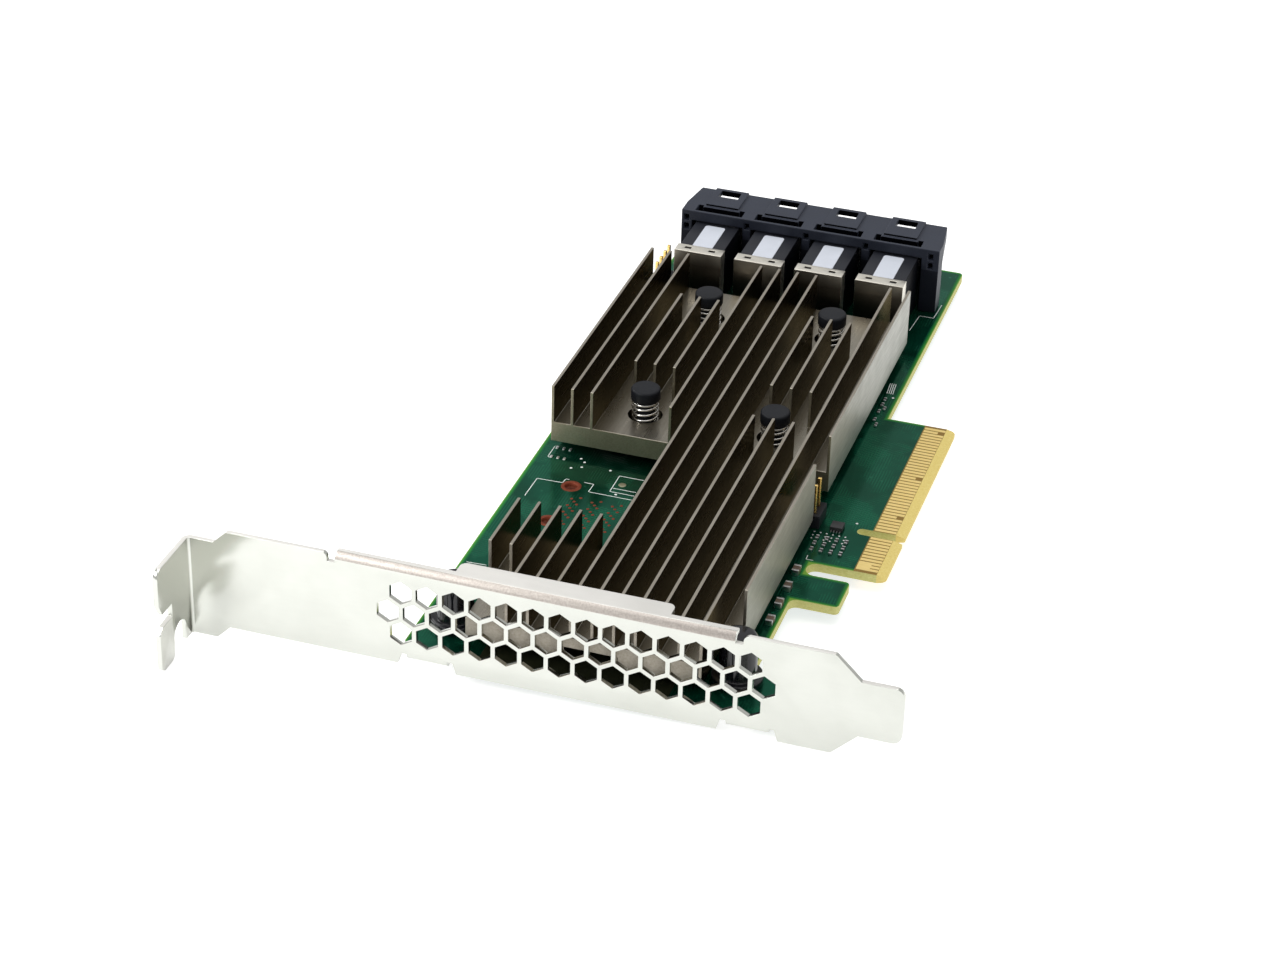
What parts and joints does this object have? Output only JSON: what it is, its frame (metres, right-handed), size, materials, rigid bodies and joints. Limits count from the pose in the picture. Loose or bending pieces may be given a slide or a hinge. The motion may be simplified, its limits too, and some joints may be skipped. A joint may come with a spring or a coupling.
{
  "type": "host bus adapter",
  "caption": "Low-profile storage adapter card on a full-height vented bracket, with a finned heat sink on push pins and rear cable ports, for an expansion slot.",
  "frame": {"origin": "on the board's component face, in the middle of the key slot's mouth at the outer edge of the card-edge fingers", "axes": "+X the way the card plugs in, +Y along the card away from the bracket, +Z out of the component face"},
  "size_m": [0.1209, 0.1728, 0.0217],
  "materials": {
    "green_board": "dark green solder mask with a soft gloss",
    "gold": "gold plating, slightly worn",
    "bracket_steel": "bright plated sheet steel, satin",
    "sink_aluminium": "extruded and milled, warm grey satin",
    "black_plastic": "moulded matt black",
    "rivet_plastic": "glossy black",
    "plated_steel": "thin plated sheet and wire",
    "label": "blank white label",
    "chip_body": "moulded chip package, matt",
    "chip_ceramic": "brown ceramic",
    "solder_ends": "tinned ends",
    "chip_substrate": "laminated package substrate",
    "thermal_pad": "soft grey thermal pad"
  },
  "bodies": {
    "root": {"circuit_board": "green_board", "edge_contacts_top": "gold", "edge_contacts_bottom": "gold", "bracket": "bracket_steel", "bracket_rivet_left": "rivet_plastic", "bracket_rivet_right": "rivet_plastic", "heat_sink": "sink_aluminium", "controller_substrate": "chip_substrate", "controller_lid": "plated_steel", "thermal_pad": "thermal_pad", "push_pin_1": "black_plastic", "push_pin_spring_1": "plated_steel", "push_pin_2": "black_plastic", "push_pin_spring_2": "plated_steel", "push_pin_3": "black_plastic", "push_pin_spring_3": "plated_steel", "push_pin_4": "black_plastic", "push_pin_spring_4": "plated_steel", "port_shroud": "black_plastic", "port_housing_1": "black_plastic", "port_shell_1": "plated_steel", "port_label_1": "label", "port_contacts_1": "gold", "port_housing_2": "black_plastic", "port_shell_2": "plated_steel", "port_label_2": "label", "port_contacts_2": "gold", "port_housing_3": "black_plastic", "port_shell_3": "plated_steel", "port_label_3": "label", "port_contacts_3": "gold", "port_housing_4": "black_plastic", "port_shell_4": "plated_steel", "port_label_4": "label", "port_contacts_4": "gold", "rear_header_pins": "gold", "rear_header_base": "black_plastic", "side_header_pins": "gold", "side_header_base": "black_plastic", "flash_chip": "chip_body", "flash_leads": "solder_ends", "capacitor_bodies": "chip_ceramic", "capacitor_ends": "solder_ends", "resistor_bodies": "chip_body", "resistor_ends": "solder_ends"}
  },
  "joints": []
}
